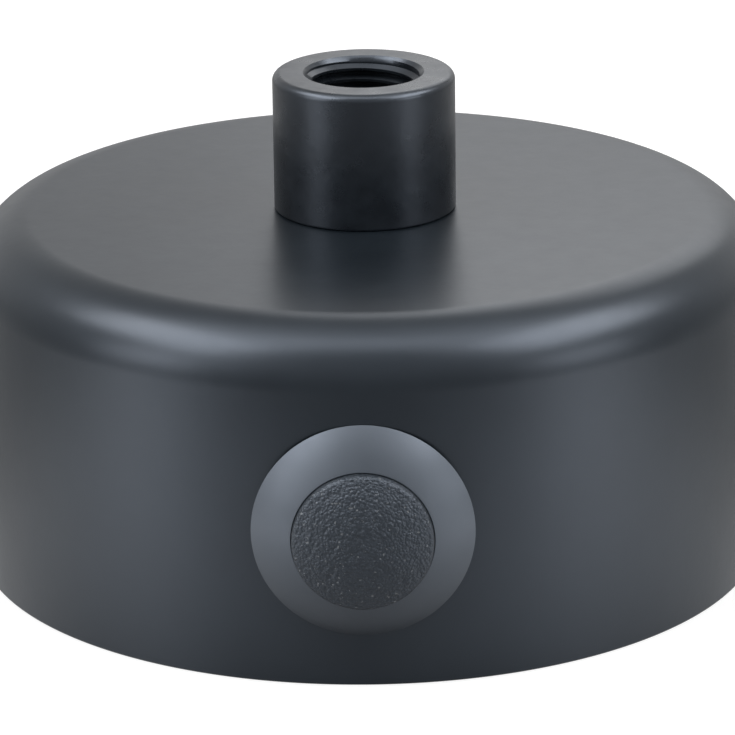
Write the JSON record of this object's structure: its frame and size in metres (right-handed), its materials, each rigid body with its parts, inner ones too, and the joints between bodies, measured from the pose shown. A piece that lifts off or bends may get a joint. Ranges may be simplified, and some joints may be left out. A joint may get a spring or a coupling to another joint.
{
  "type": "electrical ceiling rose",
  "caption": "Round ceiling rose: drawn cup with a threaded neck on top, a push-button switch in its side, and a slotted bracket with a terminal block inside.",
  "frame": {"origin": "centre of the rim plane, which is also the back of the bracket's slotted ends, where it lies on the ceiling", "axes": "+Z from the ceiling side to the neck, along the axis of the cup; -Y towards the push button; +X along the bracket"},
  "size_m": [0.0744, 0.0743, 0.0432],
  "materials": {
    "cup_coat": "satin anthracite coat",
    "neck_coat": "semi-gloss anthracite coat",
    "ring_satin": "satin moulded",
    "button_grain": "fine moulded grain",
    "black_screw": "black coated",
    "zinc_steel": "zinc plated",
    "spring_steel": "plain",
    "brass": "turned",
    "bronze": "rolled",
    "terminal_white": "moulded",
    "housing_black": "moulded",
    "mechanism_natural": "moulded, natural"
  },
  "bodies": {
    "rose": {"rose_cup": "cup_coat", "neck_sleeve": "neck_coat", "threaded_nipple": "zinc_steel", "nipple_lock_washer": "spring_steel", "nipple_lock_nut": "zinc_steel", "mounting_bracket": "zinc_steel", "side_screw_left": "black_screw", "side_screw_right": "black_screw", "earth_screw": "brass", "earth_washer": "brass", "terminal_block_body": "terminal_white", "terminal_tube_1": "brass", "terminal_tube_2": "brass", "terminal_tube_3": "brass", "clamp_screws": "zinc_steel", "block_screws": "zinc_steel", "switch_ring_nut": "ring_satin", "switch_washer": "spring_steel", "switch_housing": "housing_black", "return_spring": "spring_steel", "switch_cover": "housing_black", "cover_screws": "zinc_steel", "fixed_contact_left": "brass", "fixed_contact_right": "brass", "contact_screw_left": "zinc_steel", "contact_screw_right": "zinc_steel"},
    "push_button": {"switch_button": "button_grain", "switch_plunger": "mechanism_natural"},
    "ratchet": {"switch_rotor": "mechanism_natural", "contact_bridge": "bronze"}
  },
  "joints": [
    {"name": "button_press", "type": "slide", "parent": "rose", "child": "push_button", "axis": [0, 1, 0], "range_m": [0, 0.0025], "stiffness_N_per_m": 800, "springref_m": -0.0002, "deforming": ["return_spring"]},
    {"name": "ratchet_turn", "type": "hinge", "parent": "rose", "child": "ratchet", "pos_m": [0, -0.0229, 0.0138], "axis": [0, -1, 0], "range_deg": [0, 45]}
  ],
  "couplings": [
    {"joint": "ratchet_turn", "follows": "button_press", "rad_per_m": 314.16}
  ]
}
